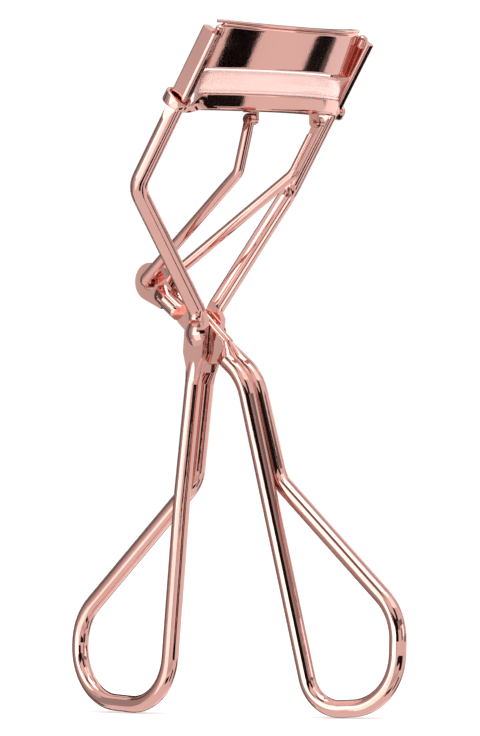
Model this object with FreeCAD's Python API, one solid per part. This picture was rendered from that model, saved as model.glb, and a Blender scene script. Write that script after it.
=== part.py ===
import FreeCAD, Part
import math
import os

os.makedirs("parts", exist_ok=True)
V = FreeCAD.Vector

# Eyelash curler, millimetres.  It is drawn about the main pivot with the handles hanging
# down: X is the pivot axis, -Y is the front that the lash plate faces, +Z is up.
# "near" is the -X side and "far" is the +X side.
# The last step leans the whole assembly so that both finger loops touch Z = 0.
STAND_LEAN = 3.022
STAND_HEIGHT = 57.778
STAND_SHIFT = 2.035

# ---- bent wire stock -----------------------------------------------------------------
WIRE_R = 1.30
PAIR_X = 1.37
LEAF_T = 1.12
LEAF_HALF_W = 1.95
LEAF_TIP_W = 0.75
LEAF_TIP_RUN = 1.9
FRAME_LEAF_X = 1.86
LEVER_LEAF_X = 0.60
LEAF_SIDE_GAP = 0.16

# ---- frame ---------------------------------------------------------------------------
RAIL_X = 17.50
RAIL_TOP = V(0, -16.75, 44.35)
ARM_BEND = V(0, -1.75, 21.75)
ARM_BEND_R = 4.0
LEAF_TOP_Z = 3.3
LEAF_TOP_R = 2.6
RAIL_HALF_X = 0.82
RAIL_HALF_N = 1.48
RAIL_FLAT_Z = 31.60
RAIL_RAMP = 2.6
RAIL_EDGE_R = 0.45
RAIL_ROOT_N = 1.10
RAIL_ROOT_RUN = 1.6
HANDLE_TOP = V(0, 1.30, -7.6)
HANDLE_BEND = V(0, 3.78, -26.0)
FRAME_LEAF_TOP = V(0, 0.12, 2.3)
FRAME_LEAF_BOTTOM = V(0, 0.60, -3.0)
FRAME_LEAF_TAIL = 3.4
SLOT_FOOT_Z = -6.0
SLOT_TOP_Z = 6.2
SLOT_HALF_Y = 7.0

# ---- main rivet ----------------------------------------------------------------------
RIVET_R = 1.15
RIVET_FIT = 0.05
RIVET_HEAD_R = 1.95
RIVET_HEAD_H = 0.85
RIVET_SEAT_GAP = 0.12

# ---- lever ---------------------------------------------------------------------------
EAR = V(0, 10.60, 7.80)
EAR_R = 2.90
EAR_HOLE_R = 1.34
LEVER_ROUND = -6.90
LEVER_ELBOW = -10.90
LEVER_ELBOW_R = 8.0
LEVER_LEAF_DROP = V(0, 0.30, -0.40)
EAR_TAIL = 3.9
EAR_TAIL_R = 2.0
# stations along the line from the pivot to the ear hole
LEVER_LEAF_TOP = 2.2
LEVER_LEAF_BOTTOM = -4.1
LEVER_LEAF_HALF_W = 2.45
LEVER_LEAF_EDGE_R = 0.38
LEVER_TUBE_START = 5.8
LEVER_TUBE_END = 8.4
CHEEK_R = 5.4

# ---- push fork -----------------------------------------------------------------------
FORK_R = 0.82
FORK_FOOT_X = 2.55
FORK_KNEE = V(6.30, -12.0, 24.0)
LUG = V(7.90, -15.55, 31.70)
FORK_EYE_R = 0.88
FORK_EYE_T = 1.00
FORK_BEND_R = 3.0
FORK_FOOT_R = 1.25

# ---- lash plate, jaw and pad ----------------------------------------------------------
BOW_R = 35.0
PLATE_HALF = 15.55
PLATE_T = 0.70
PLATE_EDGE_Y = -17.60
PLATE_EDGE_Z = 38.95
PLATE_RISE = V(0, -3.70, 6.85)
RIM_DEPTH = 1.55
RIM_T = 0.40
RIM_HALF = 16.45
HEM_R = 0.46
RIM_DIP = 9.5
BEAD_R = 0.72
BEAD_LEN = 2.1
TAB_T = 0.70
TAB_RISE = V(0, -3.06, 5.70)
JAW_FRONT_Y = -16.45
JAW_HALF = 15.55
JAW_Z = 33.00
JAW_H = 2.35
JAW_DEPTH = 3.30
JAW_WALL = 0.50
JAW_FLOOR = 0.55
JAW_LEAN = 0.22
PAD_TOP_Z = 38.80
PAD_HALF = 16.15
PAD_ROUND = 0.85
EYELET_BORE = (1.86, 1.54)
EYELET_OUT = (2.38, 2.08)
EYELET_H = 1.45
EYELET_Z = 34.15
LUG_TAB_T = 0.55
LUG_GAP = 0.17
LUG_TAB_R = 0.78
COLLAR_H = 0.30
COLLAR_LIP = 0.15
PIN_R = 0.42
PIN_FIT = 0.05
PIN_HEAD_GAP = 0.12
PIN_HEAD_T = 0.25
PIN_HEAD_LIP = 0.16
PIN_TAIL = 0.40


def unit(v):
    return V(v).multiply(1.0 / v.Length)


def at(point, x):
    return V(x, point.y, point.z)


def bent_path(corners, radii):
    """Straight runs through the corners, joined by tangent arcs of the given radii."""
    edges = []
    start = corners[0]
    for i in range(1, len(corners) - 1):
        corner = corners[i]
        back = unit(corners[i - 1] - corner)
        ahead = unit(corners[i + 1] - corner)
        half = back.getAngle(ahead) / 2.0
        run = radii[i - 1] / math.tan(half)
        first = corner + back * run
        last = corner + ahead * run
        middle_dir = unit(back + ahead)
        middle = corner + middle_dir * (radii[i - 1] / math.sin(half) - radii[i - 1])
        edges.append(Part.LineSegment(start, first).toShape())
        edges.append(Part.Arc(first, middle, last).toShape())
        start = last
    edges.append(Part.LineSegment(start, corners[-1]).toShape())
    return Part.Wire(edges)


def round_wire(corners, radii, r):
    path = bent_path(corners, radii)
    ring = Part.Wire([Part.Circle(corners[0], corners[1] - corners[0], r).toShape()])
    return path.makePipeShell([ring], True, False)


def section(centre, along, across, half_w, half_t):
    """Closed round or oval section: half_w in the side plane, half_t along X."""
    thin = unit(along.cross(across))
    if half_w > half_t:
        oval = Part.Ellipse(centre + across * half_w, centre + thin * half_t, centre)
        return Part.Wire([oval.toShape()])
    ring = Part.makeCircle(half_w, centre, along)
    start = ring.Vertexes[0].Point - centre
    turn = math.degrees(math.atan2(along.dot(start.cross(across)), start.dot(across)))
    ring.rotate(centre, along, turn)
    return Part.Wire([ring])


def taper(root, leaf_end, along):
    """Transition from round wire at root, square to along, into a pressed leaf."""
    across = unit(along.cross(V(1, 0, 0)))
    first = section(root, along, across, WIRE_R, WIRE_R)
    last = section(leaf_end, along, across, LEAF_HALF_W - 0.1, LEAF_T / 2.0 - 0.06)
    return Part.makeLoft([first, last], True, True)


def leaf(x_mid, start, end, half_w, head=LEAF_TIP_RUN, tail=LEAF_TIP_RUN):
    """Pressed flat in the side plane; each end narrows to a rounded tip over its length."""
    along = unit(V(0, end.y - start.y, end.z - start.z))
    across = V(0, -along.z, along.y)
    low = at(start, x_mid - LEAF_T / 2.0)
    high = at(end, x_mid - LEAF_T / 2.0)
    outline = []
    for base, other, way, reach in ((high, low, along, tail), (low, high, along * -1, head)):
        out = across if base is high else across * -1
        tip_a = base + way * reach + out * LEAF_TIP_W
        crest = base + way * (reach + LEAF_TIP_W * 0.8)
        tip_b = base + way * reach - out * LEAF_TIP_W
        outline.append(Part.LineSegment(base + out * half_w, tip_a).toShape())
        outline.append(Part.Arc(tip_a, crest, tip_b).toShape())
        outline.append(Part.LineSegment(tip_b, base - out * half_w).toShape())
        outline.append(Part.LineSegment(base - out * half_w, other - out * half_w).toShape())
    return Part.Face(Part.Wire(outline)).extrude(V(LEAF_T, 0, 0))


def round_rim(blank, r):
    """Round the outline of a flat blank on both of its faces."""
    rim = [edge for edge in blank.Edges if edge.BoundBox.XLength < LEAF_T / 2.0]
    return blank.makeFillet(r, rim)


def x_cylinder(point, x0, x1, r):
    return Part.makeCylinder(r, x1 - x0, V(x0, point.y, point.z), V(1, 0, 0))


def fuse_all(pieces):
    body = pieces[0].multiFuse(pieces[1:])
    return body.removeSplitter()


RAIL_DIR = unit(RAIL_TOP - ARM_BEND)
RAIL_NORMAL = V(0, -RAIL_DIR.z, RAIL_DIR.y)
LEVER_DIR = unit(EAR)


def rail_point(z):
    t = (z - ARM_BEND.z) / RAIL_DIR.z
    return ARM_BEND + RAIL_DIR * t


def prism_along_rail(side, profile, half_x):
    """Extrude a profile of (run along the rail, offset along its normal) through X."""
    base = at(rail_point(RAIL_FLAT_Z), side * RAIL_X - half_x)
    points = [base + RAIL_DIR * run + RAIL_NORMAL * off for run, off in profile]
    face = Part.Face(Part.makePolygon(points + [points[0]]))
    return face.extrude(V(2 * half_x, 0, 0))


RAIL_LEN = (RAIL_TOP - rail_point(RAIL_FLAT_Z)).Length


def pressed_rail(side, wire):
    """Press the top of one arm between two flats, which also widens it fore and aft."""
    base = at(rail_point(RAIL_FLAT_Z), side * RAIL_X)
    for out in (-1, 1):
        rim = [
            base + V(out * WIRE_R, 0, 0),
            base + V(out * RAIL_HALF_X, 0, 0) + RAIL_DIR * RAIL_RAMP,
            base + V(out * RAIL_HALF_X, 0, 0) + RAIL_DIR * (RAIL_LEN + 1),
            base + V(out * 3, 0, 0) + RAIL_DIR * (RAIL_LEN + 1),
            base + V(out * 3, 0, 0),
        ]
        rim = [q - RAIL_NORMAL * 2 for q in rim]
        tool = Part.Face(Part.makePolygon(rim + [rim[0]])).extrude(RAIL_NORMAL * 4)
        wire = wire.cut(tool)
    start = RAIL_RAMP - 0.6
    full = start + RAIL_ROOT_RUN
    profile = [
        (start, -RAIL_ROOT_N), (full, -RAIL_HALF_N), (RAIL_LEN, -RAIL_HALF_N),
        (RAIL_LEN, RAIL_HALF_N), (full, RAIL_HALF_N), (start, RAIL_ROOT_N),
    ]
    bar = prism_along_rail(side, profile, RAIL_HALF_X)
    long_edges = []
    for edge in bar.Edges:
        run = edge.Vertexes[1].Point - edge.Vertexes[0].Point
        if run.Length > 5 and abs(unit(run).dot(RAIL_DIR)) > 0.99:
            long_edges.append(edge)
    bar = bar.makeFillet(RAIL_EDGE_R, long_edges)
    return wire.fuse(bar)


def rear_loop():
    """Frame handle: two runs side by side that part into the rear finger loop."""
    near = PAIR_X
    corners = [
        at(HANDLE_TOP, -near),
        at(HANDLE_BEND, -near),
        V(-0.75, 7.45, -57.35),
        V(0.75, 27.30, -57.35),
        V(near, 27.30, -44.90),
        at(HANDLE_TOP + (HANDLE_BEND - HANDLE_TOP) * 0.82, near),
        at(HANDLE_TOP, near),
    ]
    return round_wire(corners, [30.0, 8.8, 8.4, 8.4, 5.0], WIRE_R)


def front_loop():
    """Lever handle: two runs from the elbows that part into the front finger loop."""
    near = PAIR_X
    corners = [
        at(LEVER_DIR * LEVER_ROUND, -near),
        at(LEVER_DIR * LEVER_ELBOW, -near),
        V(-0.75, -21.95, -55.60),
        V(0.75, -36.35, -54.20),
        V(near, -36.35, -40.75),
        V(near, -13.45, -21.90),
        at(LEVER_DIR * LEVER_ELBOW, near),
        at(LEVER_DIR * LEVER_ROUND, near),
    ]
    return round_wire(corners, [LEVER_ELBOW_R, 5.6, 8.3, 8.3, 5.0, LEVER_ELBOW_R], WIRE_R)


def ear_plate(x_mid):
    """Pressed ear: a round end about the fork hole that narrows towards the wire."""
    x0 = x_mid - LEAF_T / 2.0
    tail = EAR - LEVER_DIR * EAR_TAIL
    across = V(0, -LEVER_DIR.z, LEVER_DIR.y)
    sine = (EAR_R - EAR_TAIL_R) / EAR_TAIL
    cosine = math.sqrt(1 - sine * sine)
    up = across * cosine - LEVER_DIR * sine
    down = across * -cosine - LEVER_DIR * sine
    web = [EAR + up * EAR_R, EAR + down * EAR_R,
           tail + down * EAR_TAIL_R, tail + up * EAR_TAIL_R]
    web = [at(q, x0) for q in web]
    body = Part.Face(Part.makePolygon(web + [web[0]])).extrude(V(LEAF_T, 0, 0))
    return body.fuse(x_cylinder(EAR, x0, x0 + LEAF_T, EAR_R))


# ---- frame wire ------------------------------------------------------------------------
pieces = [rear_loop()]
for side in (-1, 1):
    x_leaf = side * FRAME_LEAF_X
    arm = [
        at(rail_point(RAIL_FLAT_Z), side * RAIL_X) + RAIL_DIR * (RAIL_RAMP + 1.0),
        at(ARM_BEND, side * RAIL_X),
        V(x_leaf, 0.10, LEAF_TOP_Z),
        V(x_leaf, 0.12, 2.1),
    ]
    arm_wire = round_wire(arm, [ARM_BEND_R, LEAF_TOP_R], WIRE_R)
    pieces.append(pressed_rail(side, arm_wire))
    down = unit(arm[3] - arm[2])
    pieces.append(taper(arm[3], V(x_leaf, 0.15, 0.8), down))
    pieces.append(leaf(x_leaf, FRAME_LEAF_TOP, FRAME_LEAF_BOTTOM, LEAF_HALF_W,
                       tail=FRAME_LEAF_TAIL))
    up = unit(HANDLE_TOP - HANDLE_BEND)
    pieces.append(taper(at(HANDLE_TOP, side * PAIR_X), V(x_leaf, 0.55, -3.2), up))
frame_wire = fuse_all(pieces)
frame_wire = frame_wire.cut(x_cylinder(V(0, 0, 0), -4, 4, RIVET_R))
# the pressed leaves keep a parallel slot for the lever between them
slot_half = FRAME_LEAF_X - LEAF_T / 2.0
slot_corner = V(-slot_half, -SLOT_HALF_Y, SLOT_FOOT_Z)
slot = Part.makeBox(2 * slot_half, 2 * SLOT_HALF_Y, SLOT_TOP_Z - SLOT_FOOT_Z, slot_corner)
frame_wire = frame_wire.cut(slot)
# flat seats for the rivet heads
for side in (-1, 1):
    face_x = FRAME_LEAF_X + LEAF_T / 2.0
    x0 = face_x if side > 0 else -face_x - 2.0
    frame_wire = frame_wire.cut(x_cylinder(V(0, 0, 0), x0, x0 + 2.0, RIVET_HEAD_R + RIVET_SEAT_GAP))

# ---- main rivet --------------------------------------------------------------------------
grip = FRAME_LEAF_X + LEAF_T / 2.0
shank = x_cylinder(V(0, 0, 0), -grip, grip, RIVET_R)
heads = []
dome_r = (RIVET_HEAD_R ** 2 + RIVET_HEAD_H ** 2) / (2 * RIVET_HEAD_H)
for side in (-1, 1):
    ball = Part.makeSphere(dome_r, V(side * (grip + RIVET_HEAD_H - dome_r), 0, 0))
    x0 = grip if side > 0 else -grip - 2.0
    heads.append(ball.common(x_cylinder(V(0, 0, 0), x0, x0 + 2.0, RIVET_HEAD_R + 1.0)))
main_rivet = fuse_all([shank] + heads)

# ---- lever wire ----------------------------------------------------------------------------
pieces = [front_loop()]
for side in (-1, 1):
    x_leaf = side * LEVER_LEAF_X
    x_pair = side * PAIR_X
    leaf_end = LEVER_DIR * LEVER_LEAF_BOTTOM + LEVER_LEAF_DROP
    blank = leaf(x_leaf, LEVER_DIR * LEVER_LEAF_TOP, leaf_end, LEVER_LEAF_HALF_W)
    pieces.append(round_rim(blank, LEVER_LEAF_EDGE_R))
    inner = at(LEVER_DIR * LEVER_TUBE_START, x_pair)
    outer = at(LEVER_DIR * LEVER_TUBE_END, x_pair)
    pieces.append(taper(inner, at(LEVER_DIR * (LEVER_LEAF_TOP + 0.2), x_leaf), LEVER_DIR * -1))
    pieces.append(round_wire([inner, outer], [], WIRE_R))
    pieces.append(taper(outer, at(LEVER_DIR * (LEVER_TUBE_END + 3.0), x_leaf), LEVER_DIR))
    pieces.append(ear_plate(x_leaf))
    # the run below the pivot, towards the elbow and the finger loop
    root = at(LEVER_DIR * LEVER_ROUND, x_pair)
    pieces.append(taper(root, at(LEVER_DIR * (LEVER_LEAF_BOTTOM - 0.1), x_leaf), LEVER_DIR))
lever_wire = fuse_all(pieces)
pivot_bore = x_cylinder(V(0, 0, 0), -4, 4, RIVET_R + RIVET_FIT)
ear_bore = x_cylinder(EAR, -4, 4, EAR_HOLE_R)
lever_wire = lever_wire.cut(pivot_bore.fuse(ear_bore))
lever_slot_half = slot_half - LEAF_SIDE_GAP
cheeks = []
for side in (-1, 1):
    x0 = lever_slot_half if side > 0 else -lever_slot_half - 3.0
    cheeks.append(x_cylinder(V(0, 0, 0), x0, x0 + 3.0, CHEEK_R))
lever_wire = lever_wire.cut(cheeks[0].fuse(cheeks[1]))

# ---- push fork -----------------------------------------------------------------------------
foot = FORK_FOOT_X
fork_corners = [
    V(-LUG.x, LUG.y, LUG.z - 0.2),
    V(-FORK_KNEE.x, FORK_KNEE.y, FORK_KNEE.z),
    V(-foot, EAR.y, EAR.z),
    V(foot, EAR.y, EAR.z),
    V(FORK_KNEE.x, FORK_KNEE.y, FORK_KNEE.z),
    V(LUG.x, LUG.y, LUG.z - 0.2),
]
fork_wire = round_wire(fork_corners, [FORK_BEND_R, FORK_FOOT_R, FORK_FOOT_R, FORK_BEND_R], FORK_R)
eyes = []
eye_bores = []
for side in (-1, 1):
    x0 = side * LUG.x - FORK_EYE_T / 2.0
    eyes.append(x_cylinder(LUG, x0, x0 + FORK_EYE_T, FORK_EYE_R))
    eye_bores.append(x_cylinder(LUG, x0 - 1, x0 + FORK_EYE_T + 1, PIN_R + PIN_FIT))
fork_wire = fuse_all([fork_wire] + eyes)
fork_wire = fork_wire.cut(eye_bores[0].fuse(eye_bores[1]))
# the top of each leg is pressed to the thickness of its eye
for side in (-1, 1):
    for out in (-1, 1):
        face_x = side * LUG.x + out * FORK_EYE_T / 2.0
        x0 = face_x if out > 0 else face_x - 2.0
        fork_wire = fork_wire.cut(Part.makeBox(2.0, 4, 3.0, V(x0, LUG.y - 2, LUG.z - 1.7)))


def bow_face(front_y, half, depth, z):
    """Plan view of a strip that bows forward, seen from above at height z."""
    inner_r = BOW_R - depth
    centre_y = front_y + BOW_R
    half_angle = math.asin(half / BOW_R)

    def rim(r, angle):
        return V(r * math.sin(angle), centre_y - r * math.cos(angle), z)
    edge = [
        Part.Arc(rim(BOW_R, -half_angle), rim(BOW_R, 0), rim(BOW_R, half_angle)).toShape(),
        Part.LineSegment(rim(BOW_R, half_angle), rim(inner_r, half_angle)).toShape(),
        Part.Arc(rim(inner_r, half_angle), rim(inner_r, 0), rim(inner_r, -half_angle)).toShape(),
        Part.LineSegment(rim(inner_r, -half_angle), rim(BOW_R, -half_angle)).toShape(),
    ]
    return Part.Face(Part.Wire(edge))


# ---- lash plate --------------------------------------------------------------------------
web = bow_face(PLATE_EDGE_Y, PLATE_HALF, PLATE_T, PLATE_EDGE_Z).extrude(PLATE_RISE)
sag = BOW_R - math.sqrt(BOW_R ** 2 - PLATE_HALF ** 2)
# the top edge dips towards the middle of the bow and is turned back as a narrow rim
rim_z = PLATE_EDGE_Z + PLATE_RISE.z - RIM_T
rim_y = PLATE_EDGE_Y + PLATE_RISE.y + 0.26
rim_hinge = V(0, rim_y + sag, rim_z + RIM_T)
rim = bow_face(rim_y, RIM_HALF, RIM_DEPTH, rim_z).extrude(V(0, 0, RIM_T))
rim.rotate(rim_hinge, V(1, 0, 0), RIM_DIP)
trim = Part.makeBox(60, 60, 10, V(-30, rim_hinge.y - 30, rim_hinge.z - 0.02))
trim.rotate(rim_hinge, V(1, 0, 0), RIM_DIP)
web = web.cut(trim)
pieces = [web, rim]
tab_x = RAIL_X - RAIL_HALF_X
for side in (-1, 1):
    end = V(side * PLATE_HALF, PLATE_EDGE_Y + sag, PLATE_EDGE_Z)
    # rounded hem down each end of the plate
    hem_foot = end + V(side * 0.02, HEM_R * 0.75, 0.02)
    hem = Part.makeCylinder(HEM_R, PLATE_RISE.Length - 0.35, hem_foot, PLATE_RISE)
    pieces.append(hem)
    tab_plan = [
        end + V(side * -0.35, -0.05, 0),
        end + V(side * 0.10, 0.10, 0),
        V(side * tab_x, end.y + 1.15, end.z),
        V(side * tab_x, end.y + 3.10, end.z),
        V(side * (tab_x - TAB_T), end.y + 3.10, end.z),
        V(side * (tab_x - TAB_T), end.y + 1.40, end.z),
        end + V(side * -0.75, 0.55, 0),
    ]
    outline = Part.makePolygon(tab_plan + [tab_plan[0]])
    pieces.append(Part.Face(outline).extrude(TAB_RISE))
lash_plate = fuse_all(pieces)

# ---- weld beads that hold the plate to the rail tops ----------------------------------------
beads = {}
for side, name in ((-1, "plate_weld_near"), (1, "plate_weld_far")):
    foot_point = at(RAIL_TOP, side * (RAIL_X - 1.15)) + V(0, -0.45, 0) - RAIL_DIR * 1.35
    bead = Part.makeCylinder(BEAD_R, BEAD_LEN, foot_point, RAIL_DIR)
    beads[name] = bead.makeFillet(BEAD_R * 0.8, [bead.Edges[0], bead.Edges[2]])


def oval_post(foot_point, half_axes, length):
    """Oval column along the rail; its long way is fore and aft."""
    oval = Part.Ellipse(foot_point + RAIL_NORMAL * half_axes[0],
                        foot_point + V(half_axes[1], 0, 0), foot_point)
    return Part.Face(Part.Wire([oval.toShape()])).extrude(RAIL_DIR * length)


# ---- lower jaw -----------------------------------------------------------------------------
jaw_rise = V(0, -JAW_LEAN * JAW_H, JAW_H)
channel = bow_face(JAW_FRONT_Y, JAW_HALF, JAW_DEPTH, JAW_Z).extrude(jaw_rise)
floor_z = JAW_Z + JAW_FLOOR
groove_y = JAW_FRONT_Y + JAW_WALL - JAW_LEAN * JAW_FLOOR
groove_plan = bow_face(groove_y, JAW_HALF + 1.0, JAW_DEPTH - 2 * JAW_WALL, floor_z)
groove = groove_plan.extrude(V(0, -JAW_LEAN * 4.0, 4.0))
channel = channel.cut(groove)
jaw_sag = BOW_R - math.sqrt(BOW_R ** 2 - JAW_HALF ** 2)
pieces = [channel]
eyelet_mid = rail_point(EYELET_Z)
bores = []
for side in (-1, 1):
    ring_mid = at(eyelet_mid, side * RAIL_X)
    foot_point = ring_mid - RAIL_DIR * (EYELET_H / 2.0)
    pieces.append(oval_post(foot_point, EYELET_OUT, EYELET_H))
    bores.append(oval_post(foot_point - RAIL_DIR * 15, EYELET_BORE, 30.0))
    # the strip drops and narrows from the channel's end to the front of its eyelet
    end_y = JAW_FRONT_Y + jaw_sag
    front = ring_mid + RAIL_NORMAL * (EYELET_OUT[0] - 0.30)
    root_x = side * (JAW_HALF - 0.75)
    root_y = end_y - 0.32
    lean = -JAW_LEAN * JAW_H
    root = [V(root_x, root_y, JAW_Z), V(root_x, root_y + lean, JAW_Z + JAW_H),
            V(root_x, root_y + lean + 0.9, JAW_Z + JAW_H), V(root_x, root_y + 0.9, JAW_Z)]
    tip_x = side * (RAIL_X + 0.1)
    tip = [V(tip_x, front.y - 0.22, front.z - 0.62), V(tip_x, front.y - 0.36, front.z + 0.52),
           V(tip_x, front.y + 0.20, front.z + 0.52), V(tip_x, front.y + 0.34, front.z - 0.62)]
    sections = [Part.makePolygon(root + [root[0]]), Part.makePolygon(tip + [tip[0]])]
    pieces.append(Part.makeLoft(sections, True, True))
lower_jaw = fuse_all(pieces)
lower_jaw = lower_jaw.cut(bores[0].fuse(bores[1]))

# ---- lugs and pins under the jaw --------------------------------------------------------------
lugs = {}
pins = {}
for side, tag in ((-1, "near"), (1, "far")):
    # one tab on the inboard side of each fork eye, under a small collar
    eye_in = side * LUG.x - side * FORK_EYE_T / 2.0
    eye_out = side * LUG.x + side * FORK_EYE_T / 2.0
    tab_in = eye_in - side * (LUG_GAP + LUG_TAB_T)
    x_low = min(tab_in, eye_in - side * LUG_GAP)
    tab = x_cylinder(LUG, x_low, x_low + LUG_TAB_T, LUG_TAB_R)
    top = JAW_Z + 0.05 - LUG.z
    tab = tab.fuse(Part.makeBox(LUG_TAB_T, 2 * LUG_TAB_R, top, V(x_low, LUG.y - LUG_TAB_R, LUG.z)))
    collar_low = min(tab_in - side * COLLAR_LIP, eye_out + side * COLLAR_LIP)
    collar_w = abs(tab_in - eye_out) + 2 * COLLAR_LIP
    tab = tab.fuse(Part.makeBox(collar_w, 2 * LUG_TAB_R, COLLAR_H,
                                V(collar_low, LUG.y - LUG_TAB_R, JAW_Z - COLLAR_H + 0.05)))
    tab = tab.cut(lower_jaw).removeSplitter()
    # the pin is riveted into the tab and keeps the eye on with a small head
    ends = [tab_in - side * PIN_TAIL, eye_out + side * PIN_HEAD_GAP]
    pin = x_cylinder(LUG, min(ends), max(ends), PIN_R)
    head_at = eye_out + side * PIN_HEAD_GAP
    head_end = head_at + side * PIN_HEAD_T
    head = x_cylinder(LUG, min(head_at, head_end), max(head_at, head_end), PIN_R + PIN_HEAD_LIP)
    pin = pin.fuse(head).removeSplitter()
    lugs["lug_" + tag] = tab.cut(pin)
    pins["lug_pin_" + tag] = pin

# ---- lash pad ------------------------------------------------------------------------------
pad_depth = JAW_DEPTH - 2 * JAW_WALL
pad_plan = bow_face(groove_y, PAD_HALF, pad_depth, floor_z)
pad_h = PAD_TOP_Z - floor_z
stem = pad_plan.extrude(V(0, -JAW_LEAN * pad_h, pad_h))
cap_z = JAW_Z + JAW_H + 0.02
cap_y = JAW_FRONT_Y - JAW_LEAN * (JAW_H + 0.02) - 0.02
cap_plan = bow_face(cap_y, PAD_HALF, JAW_DEPTH + 0.04, cap_z)
cap_h = PAD_TOP_Z - cap_z
cap = cap_plan.extrude(V(0, -JAW_LEAN * cap_h, cap_h))
round_edges = []
for edge in cap.Edges:
    mid = edge.CenterOfMass
    if mid.z > PAD_TOP_Z - 0.05 or abs(edge.Vertexes[0].Z - edge.Vertexes[-1].Z) > 1.0:
        round_edges.append(edge)
cap = cap.makeFillet(PAD_ROUND, round_edges)
stem_half = JAW_HALF - 1.1
stem_h = cap_z + 0.3 - floor_z
stem = stem.common(Part.makeBox(2 * stem_half, 60, stem_h, V(-stem_half, -40, floor_z)))
lash_pad = stem.fuse(cap).removeSplitter()
for side in (-1, 1):
    ring_mid = at(eyelet_mid, side * RAIL_X)
    clear = (EYELET_OUT[0] + 0.1, EYELET_OUT[1] + 0.1)
    away = oval_post(ring_mid - RAIL_DIR * 10, clear, 20.0)
    lash_pad = lash_pad.cut(away)

# ---- stand the assembly on its finger loops and write it ---------------------------------------
nodes = {
    "frame_wire": frame_wire,
    "main_rivet": main_rivet,
    "lash_plate": lash_plate,
    "lever_wire": lever_wire,
    "push_fork": fork_wire,
    "lower_jaw": lower_jaw,
    "lash_pad": lash_pad,
}
nodes.update(beads)
nodes.update(lugs)
nodes.update(pins)
for name in sorted(nodes):
    shape = nodes[name].copy()
    shape.rotate(V(0, 0, 0), V(1, 0, 0), STAND_LEAN)
    shape.translate(V(0, STAND_SHIFT, STAND_HEIGHT))
    box = shape.BoundBox
    print("%-16s solids %d valid %s vol %8.2f  y %.2f..%.2f z %.2f..%.2f x %.2f..%.2f" % (
        name, len(shape.Solids), shape.isValid(), shape.Volume,
        box.YMin, box.YMax, box.ZMin, box.ZMax, box.XMin, box.XMax))
    shape.exportStep("parts/" + name + ".step")
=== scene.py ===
import math
import bpy
from mathutils import Matrix, Vector


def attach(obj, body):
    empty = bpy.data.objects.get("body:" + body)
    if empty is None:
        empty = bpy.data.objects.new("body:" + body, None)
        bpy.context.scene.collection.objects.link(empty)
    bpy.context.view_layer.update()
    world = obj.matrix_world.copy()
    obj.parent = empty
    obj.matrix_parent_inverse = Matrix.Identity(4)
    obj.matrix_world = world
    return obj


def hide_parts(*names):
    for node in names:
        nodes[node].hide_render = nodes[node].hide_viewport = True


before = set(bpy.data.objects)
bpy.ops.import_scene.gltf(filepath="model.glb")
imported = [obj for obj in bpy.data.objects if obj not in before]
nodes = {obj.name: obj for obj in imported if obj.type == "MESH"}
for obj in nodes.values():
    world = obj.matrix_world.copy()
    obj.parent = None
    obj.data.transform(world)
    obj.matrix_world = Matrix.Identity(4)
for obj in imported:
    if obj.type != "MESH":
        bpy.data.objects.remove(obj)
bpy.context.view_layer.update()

MM = 0.001


# ---------------------------------------------------------------- materials
# How many cells of each pattern there are to a metre
PLATING_DRIFT = 90.0
WIRE_WAVE = 260.0
HANDLING_HAZE = 420.0
PITS = 620.0
BUFFING_LINES = 1500.0
SILICONE_TONE = 160.0
SILICONE_HAZE = 700.0
SILICONE_SKIN = 3800.0

# Buffing lines are drawn out along Z and packed across it
BUFFING_STRETCH = (3.0, 3.0, 0.35)
# Share of a pit's cell that its dent takes up
PIT_REACH = 0.09
# The stretch of each noise that does something; below and above it the value is held
DRIFT_RANGE = (0.35, 0.70)
HAZE_RANGE = (0.30, 0.75)
SILICONE_HAZE_RANGE = (0.3, 0.7)
FULL = (0.0, 1.0)
# Relative heights of the layers in the metal's bump
LINE_HEIGHT = 0.22
WAVE_HEIGHT = 1.5
PIT_HEIGHT = 0.30
# Strength, and depth in metres
METAL_BUMP = (0.35, 0.00004)
SILICONE_BUMP = (0.25, 0.00003)

SILICONE_PINK = (0.91, 0.585, 0.535)
SILICONE_PALE = (0.94, 0.655, 0.605)
# How far red, green and blue light spread in it, in metres
SILICONE_SPREAD = (0.0022, 0.0011, 0.0009)
SILICONE_ROUGHNESS = (0.12, 0.22)


def new_material(name):
    mat = bpy.data.materials.new(name)
    mat.use_nodes = True
    tree = mat.node_tree
    tree.nodes.clear()
    out = tree.nodes.new("ShaderNodeOutputMaterial")
    bsdf = tree.nodes.new("ShaderNodeBsdfPrincipled")
    tree.links.new(bsdf.outputs["BSDF"], out.inputs["Surface"])
    return mat, tree, bsdf


def noise(tree, coord, scale, detail, rough=0.5, stretch=(1, 1, 1)):
    mapping = tree.nodes.new("ShaderNodeMapping")
    mapping.inputs["Scale"].default_value = stretch
    tree.links.new(coord.outputs["Object"], mapping.inputs["Vector"])
    texture = tree.nodes.new("ShaderNodeTexNoise")
    texture.inputs["Scale"].default_value = scale
    texture.inputs["Detail"].default_value = detail
    texture.inputs["Roughness"].default_value = rough
    tree.links.new(mapping.outputs["Vector"], texture.inputs["Vector"])
    return texture.outputs["Fac"]


def ramp(tree, source, taken, given):
    """Map one range, taken, of the source to another, given."""
    span = tree.nodes.new("ShaderNodeMapRange")
    span.inputs["From Min"].default_value = taken[0]
    span.inputs["From Max"].default_value = taken[1]
    span.inputs["To Min"].default_value = given[0]
    span.inputs["To Max"].default_value = given[1]
    tree.links.new(source, span.inputs["Value"])
    return span.outputs["Result"]


def mix_colours(tree, factor, a, b):
    mix = tree.nodes.new("ShaderNodeMix")
    mix.data_type = "RGBA"
    mix.inputs["A"].default_value = (*a, 1)
    mix.inputs["B"].default_value = (*b, 1)
    tree.links.new(factor, mix.inputs["Factor"])
    return mix.outputs["Result"]


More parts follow.
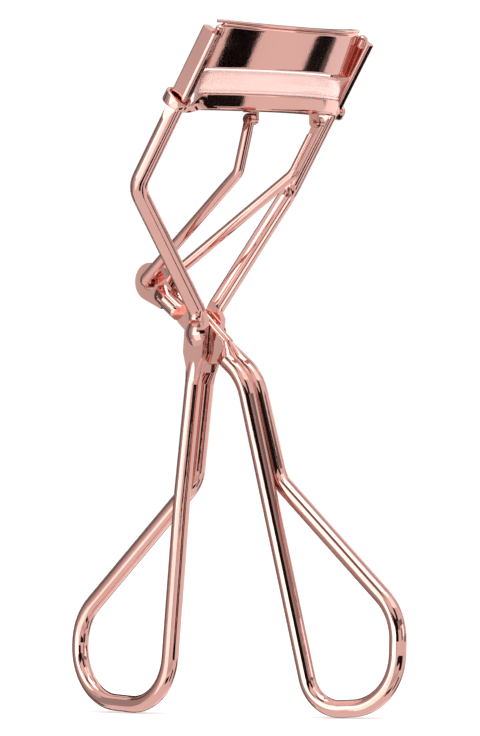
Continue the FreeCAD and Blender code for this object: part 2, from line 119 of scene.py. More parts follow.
def times(tree, source, gain, plus=None):
    """The source times gain, with another socket's value added where one is given."""
    node = tree.nodes.new("ShaderNodeMath")
    node.operation = "MULTIPLY" if plus is None else "MULTIPLY_ADD"
    node.inputs[1].default_value = gain
    tree.links.new(source, node.inputs[0])
    if plus is not None:
        tree.links.new(plus, node.inputs[2])
    return node.outputs["Value"]


def add_bump(tree, bsdf, height, strength, depth):
    bump = tree.nodes.new("ShaderNodeBump")
    bump.inputs["Strength"].default_value = strength
    bump.inputs["Distance"].default_value = depth
    tree.links.new(height, bump.inputs["Height"])
    tree.links.new(bump.outputs["Normal"], bsdf.inputs["Normal"])


def rose_gold(name, light, deep, roughness, grain=1.0):
    """Plated and polished steel: polish haze, fine buffing lines, pin-head pits."""
    mat, tree, bsdf = new_material(name)
    coord = tree.nodes.new("ShaderNodeTexCoord")
    bsdf.inputs["Metallic"].default_value = 1.0
    # plating tone drifts a little over a centimetre
    drift = noise(tree, coord, PLATING_DRIFT, detail=3.0)
    tone = mix_colours(tree, ramp(tree, drift, DRIFT_RANGE, FULL), light, deep)
    tree.links.new(tone, bsdf.inputs["Base Color"])
    # handling haze in patches a few millimetres wide
    haze = noise(tree, coord, HANDLING_HAZE, detail=5.0, rough=0.62)
    rough = ramp(tree, haze, HAZE_RANGE, roughness)
    tree.links.new(rough, bsdf.inputs["Roughness"])
    # buffing lines a few tenths of a millimetre apart, the drawn wire's slight waviness, and pits
    lines = noise(tree, coord, BUFFING_LINES, detail=3.0, rough=0.55, stretch=BUFFING_STRETCH)
    wave = noise(tree, coord, WIRE_WAVE, detail=2.0)
    pits = tree.nodes.new("ShaderNodeTexVoronoi")
    pits.inputs["Scale"].default_value = PITS
    tree.links.new(coord.outputs["Object"], pits.inputs["Vector"])
    dents = ramp(tree, pits.outputs["Distance"], (0.0, PIT_REACH), FULL)
    height = times(tree, lines, LINE_HEIGHT * grain)
    height = times(tree, wave, WAVE_HEIGHT, height)
    height = times(tree, dents, PIT_HEIGHT, height)
    add_bump(tree, bsdf, height, *METAL_BUMP)
    return mat


def silicone(name):
    """Soft pale pink rubber with a satin skin that lets a little light through."""
    mat, tree, bsdf = new_material(name)
    coord = tree.nodes.new("ShaderNodeTexCoord")
    drift = noise(tree, coord, SILICONE_TONE, detail=3.0)
    tone = mix_colours(tree, drift, SILICONE_PINK, SILICONE_PALE)
    tree.links.new(tone, bsdf.inputs["Base Color"])
    bsdf.inputs["Subsurface Weight"].default_value = 0.35
    bsdf.inputs["Subsurface Radius"].default_value = SILICONE_SPREAD
    bsdf.inputs["Subsurface Scale"].default_value = 0.6
    bsdf.inputs["IOR"].default_value = 1.41
    bsdf.inputs["Coat Weight"].default_value = 0.5
    bsdf.inputs["Coat Roughness"].default_value = 0.10
    haze = noise(tree, coord, SILICONE_HAZE, detail=4.0)
    rough = ramp(tree, haze, SILICONE_HAZE_RANGE, SILICONE_ROUGHNESS)
    tree.links.new(rough, bsdf.inputs["Roughness"])
    skin = noise(tree, coord, SILICONE_SKIN, detail=3.0)
    add_bump(tree, bsdf, skin, *SILICONE_BUMP)
    return mat


# Light tone, deep tone and the range of roughness
wire_mat = rose_gold("rose_gold_wire", (0.80, 0.46, 0.41), (0.75, 0.41, 0.36), (0.03, 0.07))
sheet_mat = rose_gold("rose_gold_pressed_sheet", (0.80, 0.45, 0.395), (0.76, 0.41, 0.355),
                      (0.05, 0.10))
small_mat = rose_gold("rose_gold_small_fittings", (0.77, 0.43, 0.38), (0.68, 0.355, 0.305),
                      (0.05, 0.14), grain=1.6)
pad_mat = silicone("pale_pink_silicone")

finish_of = {
    "frame_wire": wire_mat,
    "lever_wire": wire_mat,
    "push_fork": wire_mat,
    "lash_plate": sheet_mat,
    "lower_jaw": sheet_mat,
    "lash_pad": pad_mat,
}
for name, obj in nodes.items():
    obj.data.materials.clear()
    obj.data.materials.append(finish_of.get(name, small_mat))


# ---------------------------------------------------------------- the object's own axes
# The detailed pieces are drawn like the CAD: in millimetres about the main pivot, +X to the
# far side, +Z up. STAND leans and lifts them to where the object stands.
LEAN = math.radians(3.022)
SHIFT = Vector((0.0, 2.035, 57.778))
STAND = Matrix.Translation(SHIFT * MM) @ Matrix.Rotation(LEAN, 4, "X") @ Matrix.Scale(MM, 4)

# One bow, seen from above, is shared by the jaw, the pad and the plate
BOW_R = 35.0

RAIL_X = 17.5
ARM_BEND = Vector((0.0, -1.75, 21.75))
RAIL_TOP = Vector((0.0, -16.75, 44.35))
RAIL_DIR = (RAIL_TOP - ARM_BEND).normalized()
RAIL_NORMAL = Vector((0.0, -RAIL_DIR.z, RAIL_DIR.y))


# ---------------------------------------------------------------- mesh helpers
def smooth(t):
    t = min(max(t, 0.0), 1.0)
    return t * t * (3 - 2 * t)


def arc(cx, cz, r, start, stop, steps):
    """Points of an arc, both ends included; angles in degrees."""
    points = []
    for i in range(steps + 1):
        a = math.radians(start + (stop - start) * i / steps)
        points.append((cx + r * math.cos(a), cz + r * math.sin(a)))
    return points


def bow_point(angle, depth, front):
    """Plan of the bow at this angle from its middle and this depth behind its front face."""
    r = BOW_R - depth
    return Vector((r * math.sin(angle), front + BOW_R - r * math.cos(angle), 0.0))


def sweep(stations):
    """Closed skin through rings of equal length, with flat ends."""
    verts, faces = [], []
    count = len(stations[0])
    for ring in stations:
        verts.extend(ring)
    for i in range(len(stations) - 1):
        for j in range(count):
            k = (j + 1) % count
            a, b = i * count, (i + 1) * count
            faces.append((a + j, a + k, b + k, b + j))
    faces.append(tuple(reversed(range(count))))
    last = (len(stations) - 1) * count
    faces.append(tuple(range(last, last + count)))
    return verts, faces


def grid(columns):
    """Open skin through columns of equal length."""
    verts, faces = [], []
    rows = len(columns[0])
    for column in columns:
        verts.extend(column)
    for i in range(len(columns) - 1):
        for j in range(rows - 1):
            a, b = i * rows + j, (i + 1) * rows + j
            faces.append((a, b, b + 1, a + 1))
    return verts, faces


def joined(skins):
    verts, faces = [], []
    for skin_verts, skin_faces in skins:
        base = len(verts)
        verts.extend(skin_verts)
        faces.extend(tuple(i + base for i in face) for face in skin_faces)
    return verts, faces


def build(name, skin, mat, body, node, sheet=0.0):
    """Make one detailed piece from a skin; sheet is the thickness of an open one."""
    verts, faces = skin
    mesh = bpy.data.meshes.new(name)
    mesh.from_pydata([STAND @ Vector(v) for v in verts], [], faces)
    mesh.validate()
    mesh.shade_smooth()
    obj = bpy.data.objects.new(name, mesh)
    bpy.context.scene.collection.objects.link(obj)
    obj.data.materials.append(mat)
    if sheet:
        solid = obj.modifiers.new("sheet_thickness", "SOLIDIFY")
        solid.thickness = sheet * MM
        solid.offset = -1.0
    shading = obj.modifiers.new("edge_shading", "WEIGHTED_NORMAL")
    shading.keep_sharp = True
    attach(obj, body)
    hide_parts(node)


# ---------------------------------------------------------------- lower jaw
JAW_FRONT = -16.45
JAW_Z = 33.0
JAW_H = 2.35
# How far a wall leans forward for each millimetre of height
JAW_LEAN = 0.22
# Half the length of the channel, across X, and its half angle
JAW_SPAN = 14.7
JAW_HALF_ANGLE = math.asin(JAW_SPAN / BOW_R)
JAW_STEPS = 60

CHANNEL_WALL = 0.50
CHANNEL_DEPTH = 3.30
CHANNEL_BEND = 0.55

# The floor and rear wall run on past the front wall to just short of the rail
FOLD_FROM = 14.3
FOLD_RUN = 1.35
FOLD_STEPS = 8
FOLD_FRONT = 0.9
FOLD_BACK = 3.24
FOLD_RISE = 2.25
FOLD_TAPER = 0.5
FOLD_FLOOR = 0.04
FOLD_FLOOR_TOP = 0.50
FOLD_WALL = 0.44
FOLD_CORNER = 0.4
FOLD_CHAMFER = 0.12
FOLD_CREST = 0.08

# The wing leaves the front wall, crosses to its rail and wraps it as an open eyelet
WING_LAP = 0.055
WING_LAP_STEPS = 5
WING_DEPTH = 0.235
# Where it starts on the wall, what its half height lacks of the wall's and what it gains a step
WING_MARGIN = 0.10
WING_WIDEN = 0.02
WING_FIRST_HALF_THICK = 0.19
WING_THICKEN = 0.012
WING_PULL = 0.40
WING_STEPS = 19
WING_HALF_THICK = 0.25
EYELET_Z = 34.15
EYELET_MID = ARM_BEND + RAIL_DIR * ((EYELET_Z - ARM_BEND.z) / RAIL_DIR.z)
EYELET_FORE = 2.14
EYELET_WIDE = 1.84
EYELET_TURN = 288
EYELET_STEPS = 40
EYELET_HALF_H = 0.56
EYELET_SWELL = 0.36
EYELET_SWELL_STEPS = 16
EYELET_LIFT = 0.22
EYELET_HALF_THICK = 0.235
EYELET_TIP_STEPS = 4
EYELET_TIP_CUT = 0.14


def jaw_place(angle, depth, height):
    q = bow_point(angle, depth, JAW_FRONT)
    return Vector((q.x, q.y - JAW_LEAN * height, JAW_Z + height))


def channel_profile():
    """U section as (depth behind the front face, height), walked once round its outline."""
    wall, deep, bend = CHANNEL_WALL, CHANNEL_DEPTH, CHANNEL_BEND
    lip = wall / 2 - 0.01
    inner = bend - wall * 0.9
    return (arc(wall / 2, JAW_H - lip, lip, 180, 0, 6)
            + arc(bend, bend, inner, 180, 270, 4)
            + arc(deep - bend, bend, inner, 270, 360, 4)
            + arc(deep - wall / 2, JAW_H - lip, lip, 180, 0, 6)
            + arc(deep - bend, bend, bend, 0, -90, 6)
            + arc(bend, bend, bend, -90, -180, 6))


def channel_rings():
    profile = channel_profile()
    rings = []
    for i in range(JAW_STEPS + 1):
        angle = -JAW_HALF_ANGLE + 2 * JAW_HALF_ANGLE * i / JAW_STEPS
        rings.append([jaw_place(angle, depth, height) for depth, height in profile])
    return rings


def fold_section(t):
    """Floor and rear wall of the end fold, as (depth, height), at the share t of its run."""
    inner = FOLD_FRONT + FOLD_TAPER * t
    outer = FOLD_BACK
    rise = FOLD_RISE - FOLD_TAPER * t
    inside = outer - FOLD_WALL
    return ((inner, FOLD_FLOOR), (outer - FOLD_CORNER, FOLD_FLOOR),
            (outer - FOLD_CHAMFER, FOLD_CHAMFER), (outer, FOLD_CORNER),
            (outer, rise), (outer - FOLD_WALL / 2, rise + FOLD_CREST), (inside, rise),
            (inside - 0.02, FOLD_FLOOR_TOP + 0.12), (inside - 0.18, FOLD_FLOOR_TOP),
            (inner, FOLD_FLOOR_TOP))


def end_fold_rings(side):
    rings = []
    for i in range(FOLD_STEPS + 1):
        t = i / FOLD_STEPS
        angle = math.asin((FOLD_FROM + FOLD_RUN * t) / BOW_R)
        ring = []
        for depth, height in fold_section(t):
            q = jaw_place(angle, depth, height)
            ring.append(Vector((side * q.x, q.y, q.z)))
        rings.append(ring if side > 0 else list(reversed(ring)))
    return rings


def rounded_section(half_t, half_h, roundness=0.8, steps=4):
    """Corner-rounded strip section as (thickness, height) offsets."""
    r = min(half_t, half_h) * roundness
    return (arc(half_t - r, half_h - r, r, 0, 90, steps)
            + arc(r - half_t, half_h - r, r, 90, 180, steps)
            + arc(r - half_t, r - half_h, r, 180, 270, steps)
            + arc(half_t - r, r - half_h, r, 270, 360, steps))


def wing_on_wall(side):
    """Stations (point, up, half height, half thickness) along the end of the front wall."""
    tall = Vector((0.0, -JAW_LEAN, 1.0)).normalized()
    middle = Vector((0, -JAW_LEAN * JAW_H / 2, JAW_Z + JAW_H / 2))
    stations = []
    for i in range(WING_LAP_STEPS + 1):
        angle = JAW_HALF_ANGLE - WING_LAP + WING_LAP * i / WING_LAP_STEPS
        q = bow_point(angle, WING_DEPTH, JAW_FRONT)
        place = Vector((side * q.x, q.y, 0)) + middle
        half_h = JAW_H / 2 - WING_MARGIN + WING_WIDEN * i
        stations.append((place, tall, half_h, WING_FIRST_HALF_THICK + WING_THICKEN * i))
    return stations


def wing_crossing(side, start, end):
    """Stations on a smooth curve from the wall to the front of the rail."""
    tall = Vector((0.0, -JAW_LEAN, 1.0)).normalized()
    run = (end - start).length
    leaving = Vector((side * math.cos(JAW_HALF_ANGLE), math.sin(JAW_HALF_ANGLE), 0))
    c1 = start + leaving * run * WING_PULL
    c2 = end - Vector((side, 0, 0)) * run * WING_PULL
    stations = []
    for i in range(1, WING_STEPS):
        t = i / WING_STEPS
        place = (start * (1 - t) ** 3 + c1 * 3 * t * (1 - t) ** 2
                 + c2 * 3 * t * t * (1 - t) + end * t ** 3)
        ease = smooth(t)
        half_h = (JAW_H / 2) * (1 - ease) + EYELET_HALF_H * ease
        stations.append((place, tall.lerp(RAIL_DIR, ease).normalized(), half_h, WING_HALF_THICK))
    return stations


def eyelet_stations(side, mid):
    """Stations round the rail; the strip swells, and narrows again at its loose tip."""
    stations = []
    for i in range(EYELET_STEPS + 1):
        phi = math.radians(EYELET_TURN * i / EYELET_STEPS)
        place = (mid + RAIL_NORMAL * EYELET_FORE * math.cos(phi)
                 + Vector((side * EYELET_WIDE * math.sin(phi), 0, 0)))
        swell = smooth(i / EYELET_SWELL_STEPS)
        half_h = EYELET_HALF_H + EYELET_SWELL * swell
        past = i - (EYELET_STEPS - EYELET_TIP_STEPS)
        if past > 0:
            half_h *= 1 - EYELET_TIP_CUT * past
        lifted = place + RAIL_DIR * EYELET_LIFT * swell
        stations.append((lifted, RAIL_DIR, half_h, EYELET_HALF_THICK))
    return stations


def wing_rings(side):
    mid = Vector((side * RAIL_X, EYELET_MID.y, EYELET_MID.z))
    wall = wing_on_wall(side)
    crossing = wing_crossing(side, wall[-1][0], mid + RAIL_NORMAL * EYELET_FORE)
    stations = wall + crossing + eyelet_stations(side, mid)
    path = [station[0] for station in stations]
    rings = []
    for i, (q, up, half_h, half_t) in enumerate(stations):
        before, after = path[max(i - 1, 0)], path[min(i + 1, len(path) - 1)]
        along = (after - before).normalized()
        thick = along.cross(up).normalized()
        height = thick.cross(along).normalized()
        section = rounded_section(half_t, half_h)
        ring = [q + thick * a * side + height * b for a, b in section]
        rings.append(ring if side < 0 else list(reversed(ring)))
    return rings


jaw_skins = [sweep(channel_rings())]
for side in (-1, 1):
    jaw_skins.append(sweep(end_fold_rings(side)))
    jaw_skins.append(sweep(wing_rings(side)))
build("jaw_channel_and_eyelets", joined(jaw_skins), sheet_mat, "jaw", "lower_jaw")


# ---------------------------------------------------------------- lash pad
PAD_HALF = 16.10
PAD_FOOT = 35.40
PAD_HEIGHT = 3.36
PAD_DEPTH = 3.26
PAD_END_RUN = 1.5
# The pad's front face stands this far behind the jaw's
PAD_SETBACK = 0.02
PAD_CORNER = 0.95
# The share of its height that is left at the very ends, and how far its faces draw in there
PAD_END_HEIGHT = 0.52
PAD_END_INSET = 0.50
PAD_TONGUE = 1.70
PAD_TONGUE_INSET = 0.62
PAD_LIP_R = 0.20
PAD_LIP_IN = 0.28
PAD_LIP_Z = 0.24
PAD_UNDERCUT = 0.22
PAD_CREASE_IN = 0.17
PAD_CREASE_Z = 0.56
# How far the middle of the front face stands proud of its two edges
PAD_CROWN = 0.14
PAD_CROWN_STEPS = 9
PAD_TOP_IN = 0.12
PAD_SEAT = 0.02
PAD_HEEL = 0.25
# The ends are rounded off in this many steps, over this many degrees of a circle
PAD_END_STEPS = 9
PAD_END_TURN = 81
PAD_BOW_STEPS = 36


def pad_section(fullness):
    """Outline as (depth, height): a tongue in the groove, a lip, a crowned face, a round top."""
    top = PAD_HEIGHT * (PAD_END_HEIGHT + (1 - PAD_END_HEIGHT) * fullness)
    front = PAD_END_INSET * (1.0 - fullness)
    rear = PAD_DEPTH - front
    corner = PAD_CORNER
    tongue_front, tongue_rear = front + PAD_TONGUE_INSET, rear - PAD_TONGUE_INSET
    out = [(tongue_rear, -PAD_TONGUE), (tongue_front, -PAD_TONGUE), (tongue_front, PAD_SEAT),
           (front + PAD_UNDERCUT, PAD_SEAT)]
    out.extend(arc(front + PAD_LIP_IN, PAD_LIP_Z, PAD_LIP_R, 260, 100, 4))
    out.append((front + PAD_CREASE_IN, PAD_CREASE_Z))
    for i in range(1, PAD_CROWN_STEPS):
        t = i / PAD_CROWN_STEPS
        out.append((front + PAD_CROWN * (2 * t - 1) ** 2,
                    PAD_CREASE_Z + (top - corner - PAD_CREASE_Z) * t))
    out.extend(arc(front + PAD_TOP_IN + corner, top - corner, corner, 180, 90, 8))
    out.extend(arc(rear - corner, top - corner, corner, 90, 0, 8))
    out.extend([(rear, PAD_HEEL), (rear - PAD_HEEL, PAD_SEAT), (tongue_rear, PAD_SEAT)])
    return out


def pad_rings():
    """The soft strip: full along the bow and rounded off over its last stretch at each end."""
    reach = math.asin(PAD_HALF / BOW_R)
    run = PAD_END_RUN / BOW_R
    ends = []
    for i in range(PAD_END_STEPS, -1, -1):
        a = math.radians(PAD_END_TURN * i / PAD_END_STEPS)
        ends.append(reach + run * (-1.0 + math.cos(a)))
    bow = range(1 - PAD_BOW_STEPS, PAD_BOW_STEPS)
    middle = [(reach - run) * i / PAD_BOW_STEPS for i in bow]
    rings = []
    for angle in [-a for a in reversed(ends)] + middle + ends:
        past = max(0.0, (abs(angle) - reach + run) / run)
        fullness = math.sqrt(max(0.0, 1.0 - min(past, 0.999) ** 2))
        ring = []
        for depth, height in pad_section(fullness):
            q = bow_point(angle, depth + PAD_SETBACK, JAW_FRONT)
            lean = JAW_LEAN * (PAD_FOOT - JAW_Z + height)
            ring.append(Vector((q.x, q.y - lean, PAD_FOOT + height)))
        rings.append(ring)
    return rings


build("crowned_silicone_pad", sweep(pad_rings()), pad_mat, "jaw", "lash_pad")


# ---------------------------------------------------------------- lash plate
PLATE_FRONT = -17.60
PLATE_Z = 38.95
PLATE_RISE = Vector((0.0, -3.70, 6.85))
RISE_DIR = PLATE_RISE.normalized()
PLATE_HALF = 15.50
END_ANGLE = math.asin(PLATE_HALF / BOW_R)
SHEET = 0.42
BOW_STEPS = 48
# The bow's last point is at least this far from where an end starts to roll
BOW_GAP = 0.05

# The front stops short of the top edge, which dips towards the middle of the bow
FACE_SHORT = 0.32
DIP = math.tan(math.radians(9.5))
DIP_GAIN = 1.1
FACE_FROM = 0.3
FACE_STEPS = 24
TOP_ROLL = 0.80
TOP_STEPS = 12
FOOT_CURL = 0.22
FOOT_DROP = 0.26
FOOT_TURN = 60
FOOT_STEPS = 3

# Each end rolls back on this radius, from this share of it before the end, then runs back
END_ROLL = 0.55
END_ROLL_LAP = 0.55
END_RETURN = 0.75
END_STEPS = 10
# Degrees that the rolled ends and the rolled top turn through
ROLL_TURN = 96

BRIM_HALF = 16.35
BRIM_AHEAD = 0.26
BRIM_FROM = 0.30
BRIM_DEPTH = 1.15
BRIM_END_SHARE = 0.35
BRIM_TAPER = 0.05
BRIM_STEPS = 50
BRIM_ROWS = 8

# Plan of an end tab from the plate's end, as (outwards, back), and its slant over its height
TAB_PLAN = ((0.16, 0.75), (0.14, 1.25), (0.28, 1.62), (0.66, 1.86), (1.00, 2.02),
            (1.13, 2.30), (1.14, 3.10))
TAB_RISE = Vector((0, -3.06, 5.70))
TAB_STEPS = 10


def crown(angle):
    """Length of the plate along its rise."""
    gap = BOW_R * (math.cos(angle) - math.cos(END_ANGLE))
    return PLATE_RISE.length - FACE_SHORT - DIP * gap * DIP_GAIN


def end_roll(side):
    """Plan of one rolled-back end, from the bow outwards, and the place where it starts."""
    angle = END_ANGLE * side
    tangent = Vector((math.cos(angle), math.sin(angle), 0)) * side
    outward = Vector((math.sin(angle), -math.cos(angle), 0))
    start = bow_point(angle, 0, PLATE_FRONT) - tangent * END_ROLL * END_ROLL_LAP
    bend = []
    for i in range(1, END_STEPS + 1):
        a = math.radians(ROLL_TURN * i / END_STEPS)
        q = start + tangent * END_ROLL * math.sin(a) - outward * END_ROLL * (1 - math.cos(a))
        bend.append((q, outward * math.cos(a) + tangent * math.sin(a), angle))
    place, facing, angle = bend[-1]
    bend.append((place - outward * END_RETURN, facing, angle))
    return bend, start


def plate_plan():
    """Plan of the sheet from end to end, as (point, outward direction, bow angle)."""
    near_bend, near_start = end_roll(-1)
    far_bend = end_roll(1)[0]
    bow = []
    for i in range(-BOW_STEPS, BOW_STEPS + 1):
        a = END_ANGLE * i / BOW_STEPS
        q = bow_point(a, 0, PLATE_FRONT)
        if abs(q.x) < abs(near_start.x) - BOW_GAP:
            bow.append((q, Vector((math.sin(a), -math.cos(a), 0)), a))
    return near_bend[::-1] + bow + far_bend


def plate_skin():
    columns = []
    for place, outward, angle in plate_plan():
        face = crown(angle) - TOP_ROLL
        column = []
        for i in range(FOOT_STEPS + 1):
            a = math.radians(FOOT_TURN - FOOT_TURN * i / FOOT_STEPS)
            column.append(place - outward * FOOT_CURL * (1 - math.cos(a)) * 2
                          + RISE_DIR * (FOOT_CURL - FOOT_DROP * math.sin(a)))
        for i in range(FACE_STEPS + 1):
            column.append(place + RISE_DIR * (FACE_FROM + (face - FACE_FROM) * i / FACE_STEPS))
        for i in range(1, TOP_STEPS + 1):
            a = math.radians(ROLL_TURN * i / TOP_STEPS)
            column.append(place - outward * TOP_ROLL * (1 - math.cos(a))
                          + RISE_DIR * (face + TOP_ROLL * math.sin(a)))
        columns.append([q + Vector((0, 0, PLATE_Z)) for q in column])
    return grid(columns)


def brim_skin():
    """Turned-back brim; it runs a little past each end of the plate."""
    columns = []
    top_z = PLATE_Z + PLATE_RISE.z
    front = PLATE_FRONT + PLATE_RISE.y
    hinge_y = front + BOW_R * (1 - math.cos(END_ANGLE))
    for i in range(-BRIM_STEPS, BRIM_STEPS + 1):
        t = i / BRIM_STEPS
        angle = math.asin(BRIM_HALF / BOW_R) * t
        taper = smooth((1 - abs(t)) / BRIM_TAPER)
        reach = BRIM_DEPTH * (BRIM_END_SHARE + (1 - BRIM_END_SHARE) * taper)
        column = []
        for j in range(BRIM_ROWS + 1):
            q = bow_point(angle, BRIM_FROM + reach * j / BRIM_ROWS, front + BRIM_AHEAD)
            drop = DIP * (hinge_y + BRIM_AHEAD - q.y)
            column.append(Vector((q.x, q.y, top_z - drop)))
        columns.append(column)
    return grid(columns)


def tab_skin(side):
    """End tab: back from the plate's rolled end, out, then flat against the rail."""
    end_y = PLATE_FRONT + BOW_R * (1 - math.cos(END_ANGLE))
    end = Vector((side * PLATE_HALF, end_y, 0))
    columns = []
    for out, rearward in TAB_PLAN:
        foot = end + Vector((side * out, rearward, 0)) + Vector((0, 0, PLATE_Z))
        columns.append([foot + TAB_RISE * (j / TAB_STEPS) for j in range(TAB_STEPS + 1)])
    if side < 0:
        columns.reverse()
    return grid(columns)


plate_skins = [plate_skin(), brim_skin(), tab_skin(-1), tab_skin(1)]
build("bowed_lash_plate", joined(plate_skins), sheet_mat, "frame", "lash_plate",
      SHEET)


# ---------------------------------------------------------------- floor, light and backdrop
# In metres
FLOOR_SIDE = 9.0
FLOOR_DROP = 0.00005
FLOOR_COLOUR = (0.97, 0.965, 0.96)
FLOOR_GLOW = 0.25

SOFTBOX_AT = Vector((-0.10, -0.10, 0.80))
SOFTBOX_AIM = Vector((0, 0, 0.055))
SOFTBOX_SIDE = 0.5
SOFTBOX_WATTS = 2.0

# The camera sees the backdrop, and every other ray meets the tent, which lights the object
BACKDROP_COLOUR = (1.0, 1.0, 1.0)
BACKDROP_STRENGTH = 1.05
TENT_COLOUR = (1.0, 0.98, 0.97)
TENT_STRENGTH = 0.92


def stage_plane(name, size_x, size_y, centre, normal, mat, seen):
    """Flat sheet facing along normal, which belongs to the studio and not to the object."""
    mesh = bpy.data.meshes.new(name)
    x, y = size_x / 2, size_y / 2
    mesh.from_pydata([(-x, -y, 0), (x, -y, 0), (x, y, 0), (-x, y, 0)], [], [(0, 1, 2, 3)])
    mesh.materials.append(mat)
    obj = bpy.data.objects.new(name, mesh)
    bpy.context.scene.collection.objects.link(obj)
    obj.location = centre
    obj.rotation_mode = "QUATERNION"
    obj.rotation_quaternion = Vector(normal).to_track_quat("Z", "Y")
    obj.visible_camera = seen
    return obj


def floor_surface():
    mat, tree, bsdf = new_material("floor_surface")
    bsdf.inputs["Base Color"].default_value = (*FLOOR_COLOUR, 1)
    bsdf.inputs["Roughness"].default_value = 0.8
    bsdf.inputs["Specular IOR Level"].default_value = 0.1
    bsdf.inputs["Emission Color"].default_value = (*FLOOR_COLOUR, 1)
    bsdf.inputs["Emission Strength"].default_value = FLOOR_GLOW
    return mat


def add_softbox():
    light = bpy.data.lights.new("overhead_softbox", "AREA")
    light.shape = "RECTANGLE"
    light.size = SOFTBOX_SIDE
    light.size_y = SOFTBOX_SIDE
    light.energy = SOFTBOX_WATTS
    obj = bpy.data.objects.new("overhead_softbox", light)
    bpy.context.scene.collection.objects.link(obj)
    obj.location = SOFTBOX_AT
    obj.rotation_mode = "QUATERNION"
    obj.rotation_quaternion = (SOFTBOX_AIM - SOFTBOX_AT).to_track_quat("-Z", "Y")


def background(tree, colour, strength):
    node = tree.nodes.new("ShaderNodeBackground")
    node.inputs["Color"].default_value = (*colour, 1)
    node.inputs["Strength"].default_value = strength
    return node.outputs["Background"]


def add_world():
    world = bpy.data.worlds.new("studio")
    bpy.context.scene.world = world
    world.use_nodes = True
    tree = world.node_tree
    tree.nodes.clear()
    backdrop = background(tree, BACKDROP_COLOUR, BACKDROP_STRENGTH)
    tent = background(tree, TENT_COLOUR, TENT_STRENGTH)
    seen_by = tree.nodes.new("ShaderNodeLightPath")
    either = tree.nodes.new("ShaderNodeMixShader")
    out = tree.nodes.new("ShaderNodeOutputWorld")
    tree.links.new(seen_by.outputs["Is Camera Ray"], either.inputs["Fac"])
    tree.links.new(tent, either.inputs[1])
    tree.links.new(backdrop, either.inputs[2])
    tree.links.new(either.outputs["Shader"], out.inputs["Surface"])


floor = stage_plane("floor", FLOOR_SIDE, FLOOR_SIDE, (0, 0, -FLOOR_DROP), (0, 0, 1),
                    floor_surface(), seen=True)
# The metal mirrors the cards and the tent below it instead
floor.visible_glossy = False
add_softbox()
add_world()


# ---------------------------------------------------------------- reflected cards
# Cards stand in a ring round the object, and only reflections show them. A dark one makes a
# streak down every wire, and a bright one makes its highlight.
RING = 0.80
CARD_GAP = 0.004
EYE_LEVEL = 0.06
CARD_COLOUR = (1.0, 0.97, 0.95)
# name, bearing, spread, lowest and highest elevation in degrees, brightness
CARDS = (
    ("plate_shade_left", 20, 22, -56, -38, 0.004),
    ("plate_shade_core", 74, 13, -46, -18.5, 0.01),
    ("plate_shade_right", 80, 20, -46, -18, 0.12),
    ("camera_low", -36, 42, -59, -49, 0.01),
    ("camera_side_low", -58, 34, -5, 8, 0.01),
    ("camera_side_mid", -58, 48, 8, 21, 0.01),
    ("camera_side_high", -27, 28, 19, 40, 0.04),
    ("camera_side_left", -90, 8, 8, 24, 0.10),
    ("camera_top_left", -86, 28, 36, 68, 0.20),
    ("bar_line", 2, 36, -29, -11, 0.01),
    ("frame_line", -33, 34, -19, -10, 0.02),
    ("left_softbox_low", -94, 46, -42, -8, 1.9),
    ("left_softbox_mid", -101, 48, -8, 6, 2.9),
    ("left_softbox_top", -112, 32, 6, 34, 2.4),
    ("left_flat", -131, 14, -24, 36, 0.70),
    ("left_rear_wall", -149, 28, -24, 36, 0.42),
    ("rear_dark", -174, 24, -34, 36, 0.12),
    ("front_table_edge", -36, 64, -42, -29, 0.70),
    ("camera_table", -56, 34, -29, -11, 0.80),
    ("front_gap", 5, 22, -5, 9, 0.30),
    ("front_top_mid", -22, 28, 8, 20, 0.40),
    ("front_top_dark", 12, 44, 13, 22, 0.22),
    ("front_right_flash", 28, 22, -3, 12, 2.0),
    ("right_arm_dark", 52, 26, -8, -1, 0.10),
    ("right_mid", 54, 28, -3, 13, 0.60),
    ("right_edge_dark", 76, 14, -5, 34, 0.35),
    ("right_wall_low", 98, 30, -24, -8, 0.95),
    ("right_wall", 98, 30, -8, 32, 1.25),
    ("right_table", 100, 36, -62, -34, 1.20),
    ("right_rear_dark", 140, 56, -40, 36, 0.07),
    ("right_top", 78, 30, 40, 66, 0.50),
    ("front_ceiling", 0, 70, 42, 68, 1.6),
)


def card_surface(name, tone):
    mat = bpy.data.materials.new(name + "_surface")
    mat.use_nodes = True
    tree = mat.node_tree
    tree.nodes.clear()
    out = tree.nodes.new("ShaderNodeOutputMaterial")
    glow = tree.nodes.new("ShaderNodeEmission")
    glow.inputs["Color"].default_value = (*CARD_COLOUR, 1)
    glow.inputs["Strength"].default_value = tone
    tree.links.new(glow.outputs["Emission"], out.inputs["Surface"])
    return mat


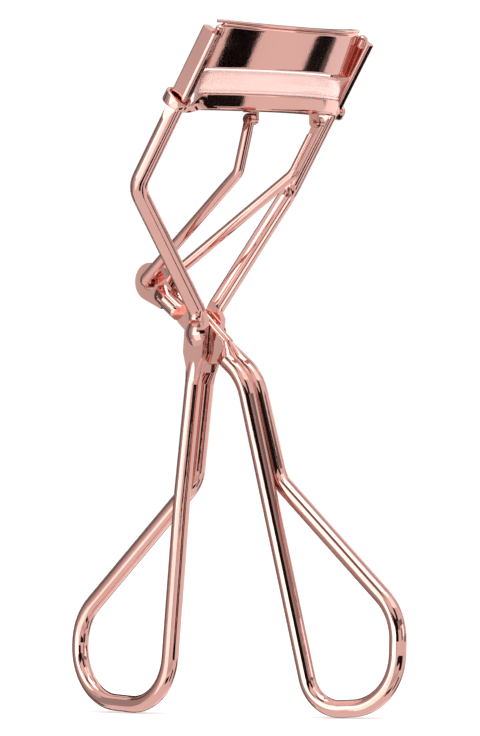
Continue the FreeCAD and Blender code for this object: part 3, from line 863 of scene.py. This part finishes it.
def add_card(name, bearing, spread, low, high, tone, reach):
    """Upright card facing the middle; bearing 0 is the front (-Y), positive turns towards +X."""
    a = math.radians(bearing)
    foot, head = (EYE_LEVEL + reach * math.tan(math.radians(e)) for e in (low, high))
    place = Vector((math.sin(a) * reach, -math.cos(a) * reach, (foot + head) / 2))
    facing = (-place.x, -place.y, 0.0)
    width = 2 * reach * math.tan(math.radians(spread / 2))
    obj = stage_plane(name, width, head - foot, place, facing, card_surface(name, tone),
                      seen=False)
    obj.visible_diffuse = False
    obj.visible_shadow = False
    obj.visible_transmission = False


for i, (name, bearing, spread, low, high, tone) in enumerate(CARDS):
    add_card("card_" + name, bearing, spread, low, high, tone, RING + CARD_GAP * i)


# ---------------------------------------------------------------- camera
# Bearing and elevation in degrees, distances in millimetres from the main pivot
CAMERA_BEARING = -49.0
CAMERA_RISE = 1.2
CAMERA_DISTANCE = 600.0
CAMERA_RIGHT = 5.152
CAMERA_DOWN = 5.273
# Height of the view at the main pivot
VIEW_TALL = 111.51515
SENSOR = 36.0

turn, tilt = math.radians(CAMERA_BEARING), math.radians(CAMERA_RISE)
back = Vector((math.sin(turn) * math.cos(tilt), -math.cos(turn) * math.cos(tilt), math.sin(tilt)))
right = Vector((math.cos(turn), math.sin(turn), 0.0))
up = back.cross(right)
spot = back * CAMERA_DISTANCE + right * CAMERA_RIGHT - up * CAMERA_DOWN
lean = Matrix.Rotation(LEAN, 3, "X")
basis = Matrix((lean @ right, lean @ up, lean @ back)).transposed()
cam_data = bpy.data.cameras.new("camera")
cam_data.sensor_width = SENSOR
cam_data.lens = SENSOR * CAMERA_DISTANCE / VIEW_TALL
cam_data.clip_start = 0.01
cam_data.clip_end = 20.0
cam = bpy.data.objects.new("camera", cam_data)
bpy.context.scene.collection.objects.link(cam)
cam.matrix_world = Matrix.Translation((lean @ spot + SHIFT) * MM) @ basis.to_4x4()
bpy.context.scene.camera = cam

view = bpy.context.scene.view_settings
view.view_transform = "Standard"
view.look = "None"
view.exposure = 0.0
